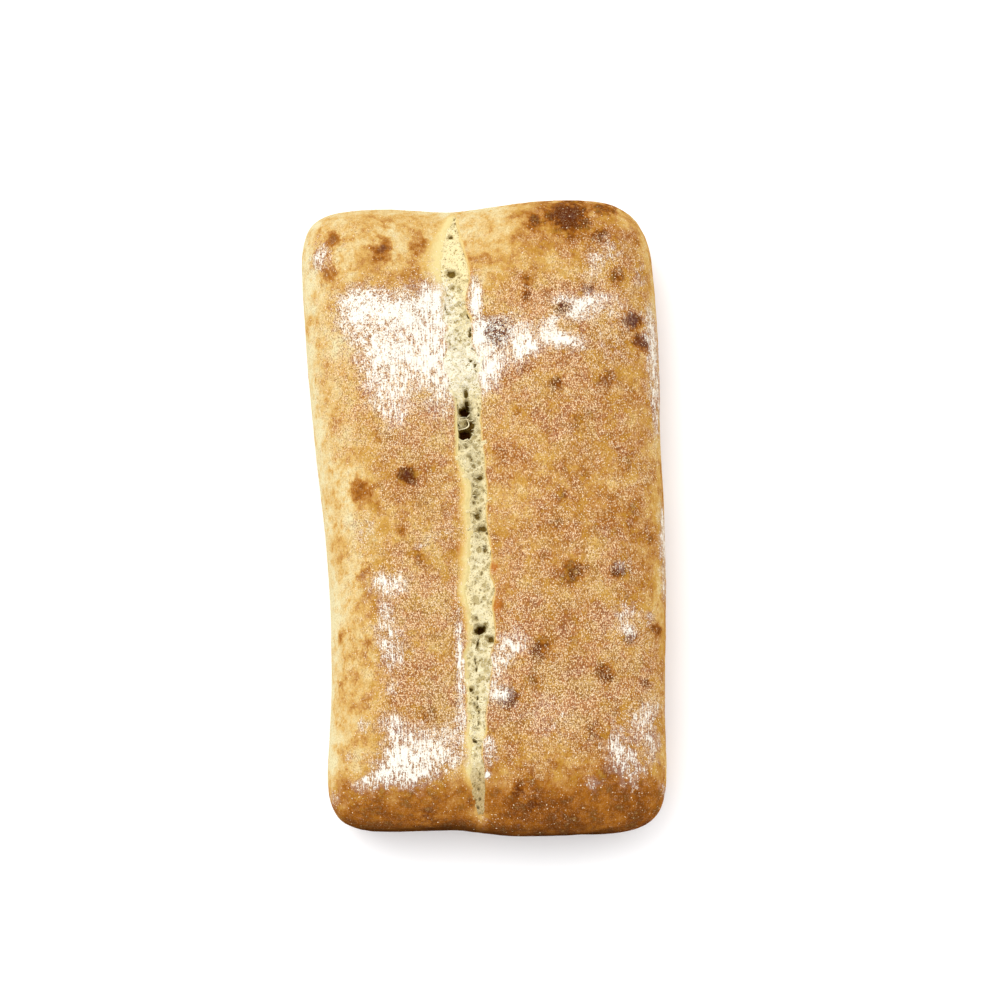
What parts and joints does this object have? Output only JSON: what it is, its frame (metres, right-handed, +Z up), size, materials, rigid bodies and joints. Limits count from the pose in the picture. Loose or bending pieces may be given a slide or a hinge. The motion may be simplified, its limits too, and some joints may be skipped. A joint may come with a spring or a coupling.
{
  "type": "ciabatta loaf",
  "caption": "Low oblong ciabatta with rounded corners, a lengthways slash that shows open crumb, and a flour-dusted crust.",
  "frame": {"origin": "centre of the loaf's bounding box, on the plane of its flat base", "axes": "+Y along the loaf, +Z up through the slashed top, +X across it"},
  "size_m": [0.1346, 0.2414, 0.0528],
  "materials": {
    "crust": "matte baked crust with patches of flour"
  },
  "bodies": {
    "root": {"loaf": "crust"}
  },
  "joints": []
}
